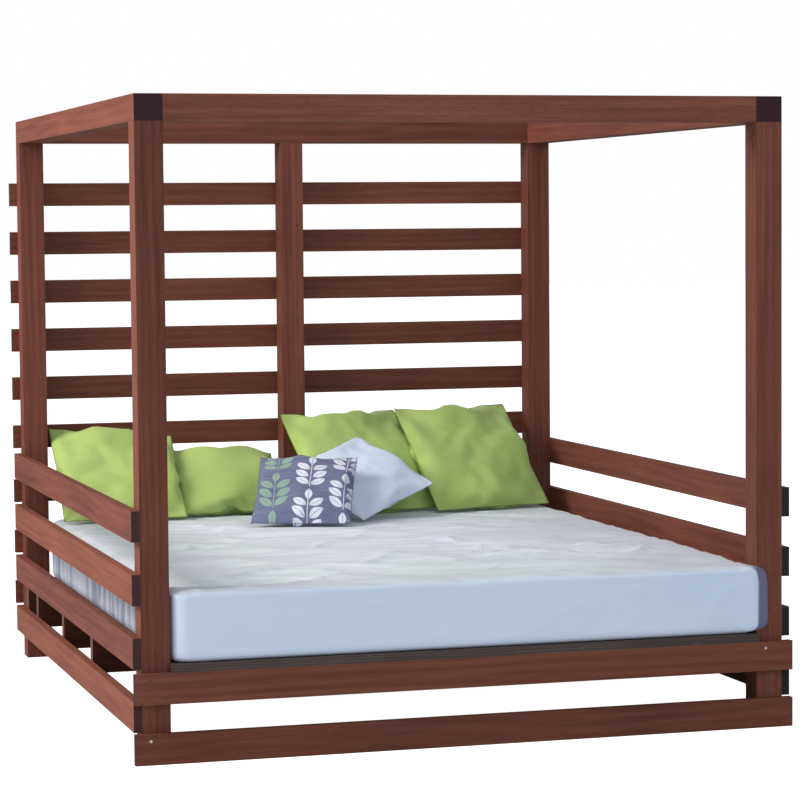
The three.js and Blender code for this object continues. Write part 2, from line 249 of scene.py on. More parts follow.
# %% World
world = bpy.data.worlds.new("studio")
world.use_nodes = True
bpy.context.scene.world = world
studio = Graph(world.node_tree)
sky_light = studio.tree.nodes["Background"]
studio.put(sky_light.inputs["Color"], (0.90, 0.95, 1.0))
studio.put(sky_light.inputs["Strength"], 0.42)
white = studio.node("ShaderNodeBackground", {}, {"Color": (1.0, 1.0, 1.0), "Strength": 1.0})
through = studio.node("ShaderNodeLightPath", output="Is Transmission Ray")
seen = studio.node("ShaderNodeLightPath", output="Is Camera Ray").most(through)
sides_of_mix = {"Fac": seen, 1: Wire(studio, sky_light.outputs[0]), 2: white}
world_surface = studio.tree.nodes["World Output"].inputs["Surface"]
studio.put(world_surface, studio.node("ShaderNodeMixShader", {}, sides_of_mix))

# %% Floor
floor_mesh = bpy.data.meshes.new("studio_floor")
reach = 60.0
corners = [(-reach, -reach, 0.0), (reach, -reach, 0.0), (reach, reach, 0.0), (-reach, reach, 0.0)]
floor_mesh.from_pydata(corners, [], [(0, 1, 2, 3)])
floor = bpy.data.objects.new("studio_floor", floor_mesh)
bpy.context.scene.collection.objects.link(floor)
floor_finish = Finish("pale_floor")
floor_finish.surface(base_color=(0.6, 0.6, 0.61), roughness=0.9, specular_ior_level=0.0)
camera_ray = floor_finish.node("ShaderNodeLightPath", output="Is Camera Ray")
floor_finish.surface(emission_color=floor_finish.mixed(camera_ray, (0.0, 0.0, 0.0), (1.0, 1.0, 1.0)))
floor_finish.surface(emission_strength=1.0)
floor_mesh.materials.append(floor_finish.material)

# %% [markdown]
# The timber
# The frame is a reddish tropical hardwood that was planed, oiled and put outside. Each board has long
# fibres, wider dark bands, and small open pores, and a board is never quite the tone of its neighbour.
# The pattern is worked out from the place of a point, stretched along the board, so it needs no unwrapping.
# The cut ends drink more oil, so they are nearly black. The eased edges are worn lighter: a narrow bevel
# gets a material of its own for that.

# %% The grain of one kind of board
AXES = {"x": 0, "y": 1, "z": 2}


def timber(name, along, number, tone=1.0, ends=(0.030, 0.012, 0.016)):
    """Oiled hardwood with its fibres along one axis. number(x, y, z) tells one board from the next."""
    finish = Finish(name)
    place = finish.place()
    board = number(*place)
    length = place[AXES[along]]
    side, rise = [place[index] for index in range(3) if index != AXES[along]]
    own = finish.node("ShaderNodeTexWhiteNoise", {"noise_dimensions": "1D"}, {"W": board}, "Value")
    drift = finish.noise(finish.vector(length * 0.8 + board * 3.1, side * 4, rise * 4), 2.0)
    rings = ((side * 46 + rise * 31 + drift * 4.5 + own * 3) * (2 * math.pi)).sine() * 0.5 + 0.5
    bands = finish.noise(finish.vector(length * 1.3 + board * 5.3, side * 70, rise * 70), 3.0, 0.6)
    fibres = finish.noise(finish.vector(length * 8 + board * 2.7, side * 300, rise * 300), 3.0, 0.7)
    pores = finish.noise(finish.vector(length * 45, side * 900, rise * 900), 1.0)
    stain = finish.noise(finish.vector(length * 2.2 + board * 7.7, side * 7, rise * 7), 2.0)
    level = rings * 0.08 + bands * 0.46 + fibres * 0.34 + stain * 0.40 + own * 0.20 - 0.24
    shades = [(0.105, 0.030, 0.021), (0.185, 0.055, 0.035), (0.255, 0.083, 0.048), (0.350, 0.130, 0.068)]
    shades = [tuple(value * tone for value in shade) for shade in shades]
    face = finish.ramp(level, list(zip((0.2, 0.42, 0.62, 0.85), shades)))
    dark_pore = pores.smooth(0.60, 0.74) * 0.45
    face = finish.mixed(dark_pore, face, tuple(value * 0.4 for value in shades[0]))
    normal = finish.node("ShaderNodeTexCoord", output="Normal")
    facing = finish.node("ShaderNodeSeparateXYZ", {}, {0: normal}, AXES[along]).size()
    end = facing.smooth(0.6, 0.8)
    growth = ((side * 2 + rise + drift * 0.2) * 420 + own * 9).sine() * 0.5 + 0.5
    end_colour = finish.mixed(growth * 0.6, ends, tuple(value * 2.1 for value in ends))
    finish.relief(fibres * 0.6 + bands * 0.6 - dark_pore, 0.0007, 0.6)
    roughness = 0.56 + (1 - bands) * 0.14 + end * 0.2
    finish.surface(specular_ior_level=0.22)
    return finish.surface(base_color=finish.mixed(end, face, end_colour), roughness=roughness)


def worn_edge(name, tone=1.0):
    """The lighter, rounded edge of an oiled board."""
    finish = Finish(name)
    x, y, z = finish.place()
    rub = finish.noise(finish.vector(x * 14, y * 14, z * 14), 3.0, 0.6)
    light = tuple(value * tone for value in (0.44, 0.175, 0.095))
    dark = tuple(value * tone for value in (0.20, 0.064, 0.040))
    colour = finish.mixed(rub.smooth(0.32, 0.66), dark, light)
    finish.relief(rub, 0.0006, 0.5)
    return finish.surface(base_color=colour, roughness=0.42 + rub * 0.2)


# %% [markdown]
# Boards get their finish
# A board's number comes from where it lies: the side rails are 184 mm apart, the slats about 175 mm, and
# the posts and beams are told apart by the side that they stand on. The number shifts the pattern, so
# that no two boards were cut from the same place.

# %% Finishes for each kind of board
RAIL_PITCH = 0.184
SLAT_PITCH = 0.1755


def rail_number(x, y, z):
    return ((z - 0.04) / RAIL_PITCH).floor() + x.floor() * 9


post_finish = timber("oiled_post", "z", lambda x, y, z: (x * 1.6).floor() + (y * 0.9).floor() * 5, 0.86)
beam_side_finish = timber("oiled_side_beam", "y", lambda x, y, z: x.floor() + 12, 0.92)
beam_cross_finish = timber("oiled_cross_beam", "x", lambda x, y, z: y.floor() + 17, 0.86)
front_rail_finish = timber("oiled_front_rail", "x", lambda x, y, z: (z * 7.1).floor() + 23, 0.84)
# The side rails are lit and shaded copies of one timber: the left rails, whose outer faces meet the lamp, get
# the full tone and lighter ends as painted light, and the right rails get a lower tone and darker ends as
# painted shade.
lit_left_rail_finish = timber("oiled_left_rail", "y", rail_number, 1.0, (0.050, 0.020, 0.022))
shaded_right_rail_finish = timber("oiled_right_rail", "y", rail_number, 0.92, (0.022, 0.014, 0.012))
slat_finish = timber("oiled_slat", "x", lambda x, y, z: (z / SLAT_PITCH).floor() + 41, 0.72)
# The joists and ledgers under the deck are the same timber at a third and at half its tone, and their edges
# at half tone: painted shade for the shade under the deck.
shaded_joist_finish = timber("dull_joist", "x", lambda x, y, z: (y / 0.2).floor() + 60, 0.34, (0.13, 0.062, 0.050))
shaded_ledger_finish = timber("dull_ledger", "y", lambda x, y, z: x.floor() + 70, 0.5)
light_edge = worn_edge("worn_edge")
dull_edge = worn_edge("dull_edge", 0.5)


def dress_board(name, finish, edge, ease=0.0028):
    """Gives a board of the model its grain, and rounds its edges in a second material."""
    board = nodes[name]
    board.data.materials.clear()
    board.data.materials.append(finish)
    board.data.materials.append(edge)
    bevel = board.modifiers.new("eased_edges", "BEVEL")
    bevel.width = ease
    bevel.segments = 2
    bevel.limit_method = "ANGLE"
    bevel.angle_limit = math.radians(50)
    bevel.material = 1
    bevel.use_clamp_overlap = False


KINDS = {
    "post_": (post_finish, light_edge),
    "beam_left": (beam_side_finish, light_edge),
    "beam_right": (beam_side_finish, light_edge),
    "beam_front": (beam_cross_finish, light_edge),
    "beam_back": (beam_cross_finish, light_edge),
    "front_rail_lower": (front_rail_finish, light_edge),
    "front_rail_upper": (front_rail_finish, light_edge),
    # The side rails take the lit and shaded copies of the timber: painted light on the left, painted shade on
    # the right.
    "side_rail_left": (lit_left_rail_finish, light_edge),
    "side_rail_right": (shaded_right_rail_finish, light_edge),
    "back_slat_": (slat_finish, light_edge),
    # Joists and ledgers take the finishes darkened with painted shade.
    "joist_": (shaded_joist_finish, dull_edge),
    "ledger_": (shaded_ledger_finish, dull_edge),
}
dressed = 0
for name in nodes:
    for start, (finish, edge) in KINDS.items():
        if name.startswith(start):
            dress_board(name, finish, edge)
            dressed += 1
print("boards with grain:", dressed)

# %% [markdown]
# The deck
# Two sheets of plywood carry the mattress. Only their front edge shows: a grey brown strip with the thin
# lines of its layers, chipped and weathered in places. The layers are bands of height, and slow noise
# bends and stains them.

# %% Deck panels
def plywood(name):
    finish = Finish(name)
    x, y, z = finish.place()
    warp = finish.noise(finish.vector(x * 3, y * 3, z * 20), 2.0)
    layers = ((z * 1000 / 4.1 + warp * 3.5) * math.pi).sine() * 0.5 + 0.5
    streak = finish.noise(finish.vector(x * 6, y * 6, z * 330), 3.0, 0.6)
    damp = finish.noise(finish.vector(x * 3.1, y * 3.1, z * 12), 3.0)
    level = layers * 0.20 + streak * 0.45 + damp * 0.55 - 0.10
    shades = [(0.2, (0.022, 0.016, 0.015)), (0.5, (0.064, 0.045, 0.040)), (0.85, (0.118, 0.086, 0.074))]
    colour = finish.ramp(level, shades)
    chips = finish.noise(finish.vector(x * 19, y * 19, z * 90), 2.0).smooth(0.66, 0.80)
    colour = finish.mixed(chips * 0.35, colour, (0.20, 0.165, 0.135))
    finish.relief(layers * 0.4 + streak * 0.6 - chips * 0.5, 0.001, 0.7)
    return finish.surface(base_color=colour, roughness=0.72 + streak * 0.15)


plywood_finish = plywood("weathered_plywood")
for name in ("deck_panel_left", "deck_panel_right"):
    dress_board(name, plywood_finish, plywood_finish, 0.0012)

# %% [markdown]
# The screws
# Flat-headed screws hold the front rails. Two of them are rubbed bare and catch the light, and the oil
# has darkened the rest. Both finishes are dull metal with fine scratches, one under a brown film.

# %% Screw heads
def screw_metal(name, colour, film, roughness):
    finish = Finish(name)
    x, y, z = finish.place()
    scratch = finish.noise(finish.vector(x * 900, y * 900, z * 4000), 2.0)
    spots = finish.noise(finish.vector(x * 700, y * 700, z * 700), 2.0).smooth(0.5, 0.7)
    shade = finish.mixed(spots * 0.6, colour, film)
    finish.relief(scratch, 0.0001, 0.4)
    return finish.surface(base_color=shade, roughness=roughness + scratch * 0.2, metallic=1 - spots * 0.5)


bare_screw = screw_metal("bare_screw", (0.72, 0.66, 0.58), (0.30, 0.20, 0.15), 0.3)
oiled_screw = screw_metal("oiled_screw", (0.16, 0.075, 0.055), (0.09, 0.035, 0.026), 0.5)
screws = [name for name in nodes if name.startswith("front_rail_screw_")]
for name in screws:
    low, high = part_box(name)
    left = low.x < 0
    lower = low.z < 0.1
    inner = abs(low.x + high.x) / 2 < 0.955
    shows = (left and lower and not inner) or (not left and not lower and inner)
    nodes[name].data.materials.clear()
    nodes[name].data.materials.append(bare_screw if shows else oiled_screw)
print("screws:", len(screws))

# %% [markdown]
# Noise for cloth
# Creases are not regular, and they have to be the same every time that the file runs. A small gradient
# noise with a fixed seed does both. It works on whole arrays of points, which is fast enough for a bed.

# %% Gradient noise
lattice = np.random.default_rng(11)
TURNS = lattice.uniform(0, 2 * math.pi, (256, 256))


def gradient_noise(u, v, layer=0):
    """Smooth noise between about -1 and 1 for arrays u and v. Each layer is another pattern."""
    u = u + layer * 17.31
    v = v + layer * 9.73
    cell_u = np.floor(u).astype(int)
    cell_v = np.floor(v).astype(int)
    part_u = u - cell_u
    part_v = v - cell_v
    ease_u = part_u ** 3 * (part_u * (part_u * 6 - 15) + 10)
    ease_v = part_v ** 3 * (part_v * (part_v * 6 - 15) + 10)

    def corner(du, dv):
        turn = TURNS[(cell_u + du) % 256, (cell_v + dv) % 256]
        return np.cos(turn) * (part_u - du) + np.sin(turn) * (part_v - dv)

    near = corner(0, 0) * (1 - ease_u) + corner(1, 0) * ease_u
    far = corner(0, 1) * (1 - ease_u) + corner(1, 1) * ease_u
    return (near * (1 - ease_v) + far * ease_v) * 1.5


def ridge(u, v, layer, sharpness=2.0):
    """Narrow crests where the noise passes through zero, like pulled cloth."""
    return np.clip(1 - np.abs(gradient_noise(u, v, layer)) * sharpness, 0, 1) ** 2


def soft_step(value, low, high):
    part = np.clip((value - low) / (high - low), 0, 1)
    return part * part * (3 - 2 * part)


# %% [markdown]
# The mattress
# The bed's mattress is a plain foam block, a little over 200 mm thick. It can be made as a grid that is
# wrapped round the block: a square sheet of points is pushed onto a rectangle with rounded corners, and
# its outer rows go down the sides and under it. The same wrapping, a little larger, makes the fitted
# sheet. The core lies further below the top than beside the sides, clear of the sheet's deep creases.

# %% Wrapping a grid round the mattress
mattress_low, mattress_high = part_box("mattress")
mattress_middle = (mattress_low + mattress_high) / 2
HALF_X = (mattress_high.x - mattress_low.x) / 2
HALF_Y = (mattress_high.y - mattress_low.y) / 2
BOTTOM = mattress_low.z
CROWN = 0.010
TOP = mattress_high.z - CROWN
CORNER = 0.050
EDGE = 0.026
print("mattress in metres:", [round(value, 3) for value in mattress_high - mattress_low])


def rounded_plan(x, y, half_x, half_y, corner):
    """Moves points of a rectangle's outline onto one with round corners, and gives the outward direction."""
    core_x = np.clip(x, -(half_x - corner), half_x - corner)
    core_y = np.clip(y, -(half_y - corner), half_y - corner)
    out_x = x - core_x
    out_y = y - core_y
    far = np.hypot(out_x, out_y)
    far = np.where(far < 1e-9, 1.0, far)
    return core_x + out_x / far * corner, core_y + out_y / far * corner, out_x / far, out_y / far


def wrap(step, inset, tuck, drop):
    """Points and faces of a skin over the mattress: the top, its rounded edge, the sides and a tuck below."""
    ceiling = TOP - drop
    ground = BOTTOM + inset * 0.25
    half_x = HALF_X - inset
    half_y = HALF_Y - inset
    columns = int(round(2 * half_x / step))
    rows = int(round(2 * half_y / step))
    ring = [(i, 0) for i in range(columns)]
    ring += [(columns, j) for j in range(rows)]
    ring += [(i, rows) for i in range(columns, 0, -1)]
    ring += [(0, j) for j in range(rows, 0, -1)]
    index = {}
    points = []
    grid_x, grid_y = np.meshgrid(np.linspace(-1, 1, columns + 1), np.linspace(-1, 1, rows + 1), indexing="ij")
    scale = np.maximum(np.abs(grid_x), np.abs(grid_y))
    safe = np.where(scale < 1e-9, 1.0, scale)
    top_half_x = half_x - EDGE
    top_half_y = half_y - EDGE
    top_corner = CORNER - EDGE * 0.5
    place_x, place_y, _, _ = rounded_plan(
        grid_x / safe * top_half_x, grid_y / safe * top_half_y, top_half_x, top_half_y, top_corner
    )
    place_x = place_x * scale
    place_y = place_y * scale
    crown = (1 - (place_x / half_x) ** 2) * (1 - (place_y / half_y) ** 2) * CROWN
    for i in range(columns + 1):
        for j in range(rows + 1):
            index[(i, j)] = len(points)
            points.append((place_x[i, j], place_y[i, j], ceiling + crown[i, j]))
    kinds = [0] * len(points)
    edge_steps = max(4, int(EDGE * 1.57 / step))
    side_steps = max(4, int((ceiling - ground - 2 * EDGE) / step))
    tuck_steps = max(2, int(tuck / step))
    profile = []
    for k in range(1, edge_steps + 1):
        angle = k / edge_steps * math.pi / 2
        profile.append((EDGE * (1 - math.sin(angle)), ceiling - EDGE * (1 - math.cos(angle)), 1))
    for k in range(1, side_steps + 1):
        profile.append((0.0, ceiling - EDGE - (ceiling - ground - 2 * EDGE) * k / side_steps, 2))
    for k in range(1, edge_steps + 1):
        angle = k / edge_steps * math.pi / 2
        profile.append((EDGE * (1 - math.cos(angle)), ground + EDGE * (1 - math.sin(angle)), 3))
    for k in range(1, tuck_steps + 1):
        profile.append((EDGE + tuck * k / tuck_steps, ground, 4))
    ring_x = np.array([grid_x[i, j] for i, j in ring])
    ring_y = np.array([grid_y[i, j] for i, j in ring])
    last = [index[key] for key in ring]
    faces = []
    for i in range(columns):
        for j in range(rows):
            faces.append((index[(i, j)], index[(i + 1, j)], index[(i + 1, j + 1)], index[(i, j + 1)]))
    for draw_in, height, kind in profile:
        reach_x = half_x - draw_in
        reach_y = half_y - draw_in
        corner = CORNER - min(draw_in, EDGE) * 0.5
        round_x, round_y, _, _ = rounded_plan(ring_x * reach_x, ring_y * reach_y, reach_x, reach_y, corner)
        start = len(points)
        points += list(zip(round_x, round_y, [height] * len(ring)))
        kinds += [kind] * len(ring)
        current = list(range(start, start + len(ring)))
        for k in range(len(ring)):
            after = (k + 1) % len(ring)
            faces.append((last[k], current[k], current[after], last[after]))
        last = current
    return np.array(points), faces, np.array(kinds), last


def shade_smooth(mesh):
    mesh.polygons.foreach_set("use_smooth", [True] * len(mesh.polygons))
    mesh.update()


def new_piece(name, points, faces, finish):
    mesh = bpy.data.meshes.new(name)
    mesh.from_pydata([tuple(point) for point in points], [], faces)
    shade_smooth(mesh)
    mesh.materials.append(finish)
    piece = bpy.data.objects.new(name, mesh)
    bpy.context.scene.collection.objects.link(piece)
    return piece


# %% [markdown]
# The mattress core
# Under the sheet lies the mattress in its own woven cover. Little of it can be seen, but it is what the
# sheet is stretched over, so it is made whole and closed, with a cover of plain tick.

# %% Mattress core
def ticking(name):
    finish = Finish(name)
    x, y, z = finish.place()
    weave = ((x + y) * 2400).sine() * ((z + x) * 2400).sine()
    stripe = (x * 160).sine().smooth(0.7, 0.9)
    colour = finish.mixed(stripe * 0.6, (0.72, 0.71, 0.68), (0.40, 0.46, 0.56))
    finish.relief(weave, 0.0004, 0.5)
    return finish.surface(base_color=colour, roughness=0.85)


core_points, core_faces, _, core_rim = wrap(0.030, 0.016, 0.300, 0.036)
core_faces.append(tuple(core_rim))
core_points[:, 0] += mattress_middle.x
core_points[:, 1] += mattress_middle.y
core = new_piece("mattress_core", core_points, core_faces, ticking("mattress_tick"))
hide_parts("mattress")
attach(core, "mattress_body")
print("mattress core points:", len(core_points))

# %% [markdown]
# The fitted sheet
# A thin, pale blue white sheet is stretched over the mattress, with an elastic hem below. On top it has
# many low creases that bend, split and join. Its front is smooth, its left and right sides are gathered,
# and at the right front the loose corner lies in front of the post.
# Creases as deep as these have to be real shape, because they catch light and shade. So they are added
# to the points as height. Seen from so low, the bed's length is squeezed six times, so creases that look
# level in the photo really run in all directions: a net of crests in three sizes, on slightly tilted facets.

# %% Creases on the sheet
def crease_net(x, y, scale, layer, half_width):
    """Sharp crests along the lines where a noise is zero. The lines bend, split and join."""
    bent_x = x + 0.10 * gradient_noise(x * 2.1, y * 2.1, layer + 1)
    bent_y = y + 0.10 * gradient_noise(x * 2.1, y * 2.1, layer + 2)
    value = gradient_noise(bent_x * scale * 0.42 + bent_y * scale * 0.2, bent_y * scale, layer)
    return np.clip(1 - np.abs(value) / (half_width * scale * 1.5), 0, 1) ** 1.5


def top_creases(x, y):
    calm = soft_step(gradient_noise(x * 1.5, y * 1.9, 6), -0.30, 0.25)
    facets = 1 - np.abs(gradient_noise(x * 1.9 + 0.4, y * 2.9 + 0.15 * np.sin(x * 3), 3))
    swell = gradient_noise(x * 1.3, y * 2.4, 7)
    wide = crease_net(x, y, 3.1, 24, 0.024)
    middle = crease_net(x, y, 5.6, 31, 0.019)
    small = crease_net(x, y, 9.5, 38, 0.015)
    broad = 0.024 * facets + 0.0055 * swell + 0.0095 * wide
    return broad + (0.0085 * middle + 0.0058 * small) * calm - 0.024


def side_gathers(along, height, amount):
    folds = ridge(along * 13, height * 2.5 + 3, 8, 1.6) * 0.6
    return (folds + gradient_noise(along * 21, height * 4, 9) * 0.5) * amount


def front_creases(x, height):
    faint = ridge(x * 2.0 + height * 5, height * 9 - x * 1.5, 10, 3.2)
    return faint * 0.0014 + gradient_noise(x * 3.2, height * 6, 11) * 0.0016


# %% The sheet's points
sheet_points, sheet_faces, sheet_kinds, _ = wrap(0.008, 0.0, 0.055, 0.0)
px, py, pz = sheet_points[:, 0], sheet_points[:, 1], sheet_points[:, 2]
on_top = 1 - soft_step(TOP - pz, 0.004, 0.030)
below = soft_step(TOP - pz, 0.012, 0.05) * (1 - soft_step(BOTTOM + 0.03 - pz, 0.0, 0.025))
near_rim = np.minimum(HALF_X - np.abs(px), HALF_Y - np.abs(py))
rim_fade = 0.35 + 0.65 * soft_step(near_rim, 0.02, 0.20)
lift = top_creases(px, py) * on_top * rim_fade
for name in ("green_1", "green_2", "green_3", "green_4", "diamond", "printed"):
    low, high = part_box("cushion_" + name)
    outside_x = np.clip(np.maximum(low.x - mattress_middle.x - px, px - high.x + mattress_middle.x), 0, 1)
    outside_y = np.clip(np.maximum(low.y - mattress_middle.y - py, py - high.y + mattress_middle.y), 0, 1)
    lift *= soft_step(np.hypot(outside_x, outside_y), -0.02, 0.07)
front_side = soft_step(-py, HALF_Y - 0.045, HALF_Y - 0.02) * below
left_side = soft_step(-px, HALF_X - 0.045, HALF_X - 0.02) * below
right_side = soft_step(px, HALF_X - 0.045, HALF_X - 0.02) * below
rearward = soft_step(py, -0.6, 0.9)
gather = side_gathers(py, pz, 0.0028 + 0.0045 * rearward)
sheet_points[:, 2] += lift - 0.004 * on_top
sheet_points[:, 1] += front_side * (0.001 - front_creases(px, pz))
sheet_points[:, 0] += left_side * (gather - 0.001)
sheet_points[:, 0] -= right_side * (gather - 0.001)
print("sheet points:", len(sheet_points))

# %% [markdown]
# The corner in front of the right post
# The mattress is a little longer than the frame, so its front corners bulge past the posts. The sheet's
# right corner is loose: from a sharp upright fold it runs on over the post's face, and there it gets painted
# shade, a dark lavender. The corner's points are drawn along that path, less towards the top and the bottom,
# and are kept clear of the post. A number on each point says how much painted shade it gets.

# %% Loose corner
post_low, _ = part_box("post_front_right")
local_post_x = post_low.x - mattress_middle.x
local_post_y = post_low.y - mattress_middle.y
corner_angle = np.arctan2(px - (HALF_X - CORNER), -(py + (HALF_Y - CORNER)))
in_corner = (px > HALF_X - CORNER) & (py < -(HALF_Y - CORNER)) & (sheet_kinds > 0)
share = np.where(in_corner, np.clip(corner_angle / (math.pi / 2), 0, 1), 0)
path_share = np.array([0.0, 0.30, 0.34, 0.62, 0.70, 0.94, 1.0])
path_x = HALF_X + np.array([-CORNER, -0.006, -0.003, 0.036, 0.033, -0.002, -0.001])
path_y = -HALF_Y + np.array([0.0, -0.001, 0.001, 0.0125, 0.0155, 0.0165, CORNER])
from_top = np.clip((TOP - pz) / 0.070, 0, 1)
from_bottom = np.clip((pz - BOTTOM - 0.004) / 0.034, 0, 1)
bulge_height = np.sqrt(1 - (1 - from_top) ** 2) * np.sqrt(1 - (1 - from_bottom) ** 2)
weight = np.where(in_corner, bulge_height, 0)
sheet_points[:, 0] += weight * (np.interp(share, path_share, path_x) - px)
sheet_points[:, 1] += weight * (np.interp(share, path_share, path_y) - py)
caught = in_corner & (sheet_points[:, 0] > local_post_x - 0.002) & (sheet_points[:, 1] > local_post_y - 0.003)
sheet_points[caught, 1] = local_post_y - 0.003
# How much painted shade each point of the loose corner gets.
inner_side = soft_step(share, 0.31, 0.37) * soft_step(weight, 0.05, 0.35)
print("points drawn over the post:", int((weight > 0.1).sum()))

# %% [markdown]
# The sheet's cloth
# It is a fine, slightly sheer cotton. Close by, it has a plain weave, and from afar it has soft shade in
# the valleys, a little green and grey: painted shade in the valleys of a noise, whose green is a painted
# reflection of the cushions. The weave is worked out from the place of a point, and the tint from slow noise
# that is stretched like the creases. The tint is partly a random tone and partly that painted green
# reflection.
# Which way the cloth faces picks lit and shaded copies of the cloth: the top, a bluer front and back painted
# as shade, and the hanging sides, whose upright folds are painted darker as shade.

# %% Sheet finish
def cotton_sheet(name):
    finish = Finish(name)
    x, y, z = finish.place()
    weave = (x * 5200).sine() * (y * 5200 + z * 5200).sine()
    fine = finish.noise(finish.vector(x * 14, y * 60, z * 30), 3.0, 0.55)
    creased = finish.noise(finish.vector(x * 1.5 + y * 1.2, y * 15 + x * 2.2, z * 9), 1.6, 0.5)
    # The valleys are lines of a noise, not of the sheet's shape: they make a dip in the bump and painted
    # shade in the colour.
    valley_bump_and_painted_shade = 1 - (creased - 0.5).size().smooth(0.0, 0.09)
    folds = finish.noise(finish.vector(x * 2, y * 13, z * 2.2), 2.5, 0.6)
    # Slow noise that mixes a bluer and a greener copy of each colour: partly a random tone, partly a painted
    # green reflection of the cushions.
    tone_and_green_reflection = finish.noise(finish.vector(x * 1.3, y * 1.9, z * 3), 2.0)
    # Lit and shaded copies of one cloth, picked below by which way it faces: the top, whose greener colour is
    # a painted green reflection of the cushions, and the bluer front and back, which are painted shade.
    top = finish.mixed(tone_and_green_reflection.smooth(0.38, 0.62), (0.68, 0.71, 0.79), (0.65, 0.71, 0.75))
    front_back_shaded_copy = finish.mixed(tone_and_green_reflection.smooth(0.35, 0.65), (0.68, 0.80, 1.0), (0.74, 0.82, 0.97))
    shade = finish.mixed(tone_and_green_reflection.smooth(0.40, 0.60), (0.46, 0.50, 0.61), (0.43, 0.51, 0.52))
    outward = finish.node("ShaderNodeTexCoord", output="Normal")
    sideways = finish.node("ShaderNodeSeparateXYZ", {}, {0: outward}, 0).size().smooth(0.55, 0.9)
    level = finish.node("ShaderNodeSeparateXYZ", {}, {0: outward}, 2).smooth(0.5, 0.9)
    # Painted shade on the hanging left and right sides: their upright folds are dark stripes of colour from
    # noise, more than shape.
    side_folds_painted_shade = finish.mixed(folds.smooth(0.38, 0.62), (0.27, 0.30, 0.42), (0.56, 0.62, 0.76))
    cloth = finish.mixed(sideways, front_back_shaded_copy, side_folds_painted_shade)
    cloth = finish.mixed(level, cloth, top)
    # Painted shade, green grey, in the noise's crease valleys on the top.
    cloth = finish.mixed(valley_bump_and_painted_shade * level * 0.34, cloth, shade)
    # Painted shade, a dark lavender, on the loose corner in front of the right post.
    inner = finish.node("ShaderNodeAttribute", {"attribute_name": "inner_side"}, output="Fac")
    cloth = finish.mixed(inner * 0.95, cloth, (0.14, 0.13, 0.24))
    finish.relief(fine * 0.22 + folds * sideways - valley_bump_and_painted_shade * level * 0.6 + weave * 0.03, 0.0035, 0.5)
    finish.surface(sheen_weight=0.15, sheen_roughness=0.5, specular_ior_level=0.2)
    return finish.surface(base_color=cloth, roughness=0.82 + fine * 0.1)


sheet_points[:, 0] += mattress_middle.x
sheet_points[:, 1] += mattress_middle.y
fitted_sheet = new_piece("fitted_sheet", sheet_points, sheet_faces, cotton_sheet("cotton_sheet"))
# The loose corner's painted shade is kept on the points as an attribute.
corner_shade_layer = fitted_sheet.data.attributes.new("inner_side", "FLOAT", "POINT")
corner_shade_layer.data.foreach_set("value", inner_side)
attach(fitted_sheet, "mattress_body")

# %% [markdown]
# How the cushions are stuffed
# A loose cushion is two pieces of cloth, sewn together round the rim and filled. When it is filled, the
# middle rises, the sides draw in between the corners, and the cloth puckers along the seam. Cloth
# simulation gives all three if it starts from what the maker starts from: two flat pieces that share
# their rim, blown up by pressure with no gravity. One cushion is oblong and the others are square. The
# grid keeps track of the rim, so the seam can be creased and sewn afterwards. Each result is then set to
# the size that the model gives the cushion.

# %% Two pieces of cloth that share a rim
def flat_cover(width, height, cells, layer):
    """Points and faces of an empty cover that lies in its own plane, a little puffed."""
    count = cells + 1
    line = np.linspace(-1, 1, count)
    u, v = np.meshgrid(line, line, indexing="ij")
    puff = (1 - u ** 2) * (1 - v ** 2) * width * 0.04
    puff = puff * (1 + 0.25 * gradient_noise(u * 3, v * 3, layer))
    points = []
    front = {}
    back = {}
    for i in range(count):
        for j in range(count):
            on_rim = i in (0, cells) or j in (0, cells)
            front[(i, j)] = len(points)
            back[(i, j)] = len(points)
            points.append((u[i, j] * width / 2, v[i, j] * height / 2, 0.0 if on_rim else puff[i, j]))
    for i in range(1, cells):
        for j in range(1, cells):
            back[(i, j)] = len(points)
            points.append((u[i, j] * width / 2, v[i, j] * height / 2, -puff[i, j]))
    faces = []
    for i in range(cells):
        for j in range(cells):
            quad = [(i, j), (i + 1, j), (i + 1, j + 1), (i, j + 1)]
            faces.append(tuple(front[key] for key in quad))
            faces.append(tuple(back[key] for key in reversed(quad)))
    rim = [(i, 0) for i in range(cells)] + [(cells, j) for j in range(cells)]
    rim += [(i, cells) for i in range(cells, 0, -1)] + [(0, j) for j in range(cells, 0, -1)]
    return np.array(points), faces, [front[key] for key in rim]


# %% Where each cushion stands in the model
def cushion_turn(lean, yaw, roll):
    turn = Matrix.Rotation(math.radians(yaw), 4, "Z")
    turn = turn @ Matrix.Rotation(math.radians(90 - lean), 4, "X")
    return turn @ Matrix.Rotation(math.radians(roll), 4, "Z")


def cushion_pose(name, lean, yaw, roll):
    """The cushion's place and size in the model, measured in its own plane."""
    turn = cushion_turn(lean, yaw, roll)
    back = turn.inverted()
    local = np.array([back @ vertex.co for vertex in nodes[name].data.vertices])
    low = local.min(0)
    high = local.max(0)
    middle = turn @ Vector((low + high) / 2)
    return Matrix.Translation(middle) @ turn, high - low


CUSHIONS = {
    "cushion_green_1": {"lean": 46, "yaw": 0, "roll": 0, "body": "green_cushion_1"},
    "cushion_green_2": {"lean": 49, "yaw": 3, "roll": 0, "body": "green_cushion_2"},
    "cushion_green_3": {"lean": 44, "yaw": 13, "roll": 0, "body": "green_cushion_3"},
    "cushion_green_4": {"lean": 42, "yaw": 14, "roll": 0, "body": "green_cushion_4"},
    "cushion_diamond": {"lean": 60, "yaw": 1, "roll": 33, "body": "diamond_cushion"},
    "cushion_printed": {"lean": 53, "yaw": -21, "roll": 0, "body": "printed_cushion"},
}
for name, facts in CUSHIONS.items():
    facts["pose"], facts["size"] = cushion_pose(name, facts["lean"], facts["yaw"], facts["roll"])
    print(name, "in millimetres:", [round(value * 1000) for value in facts["size"]])

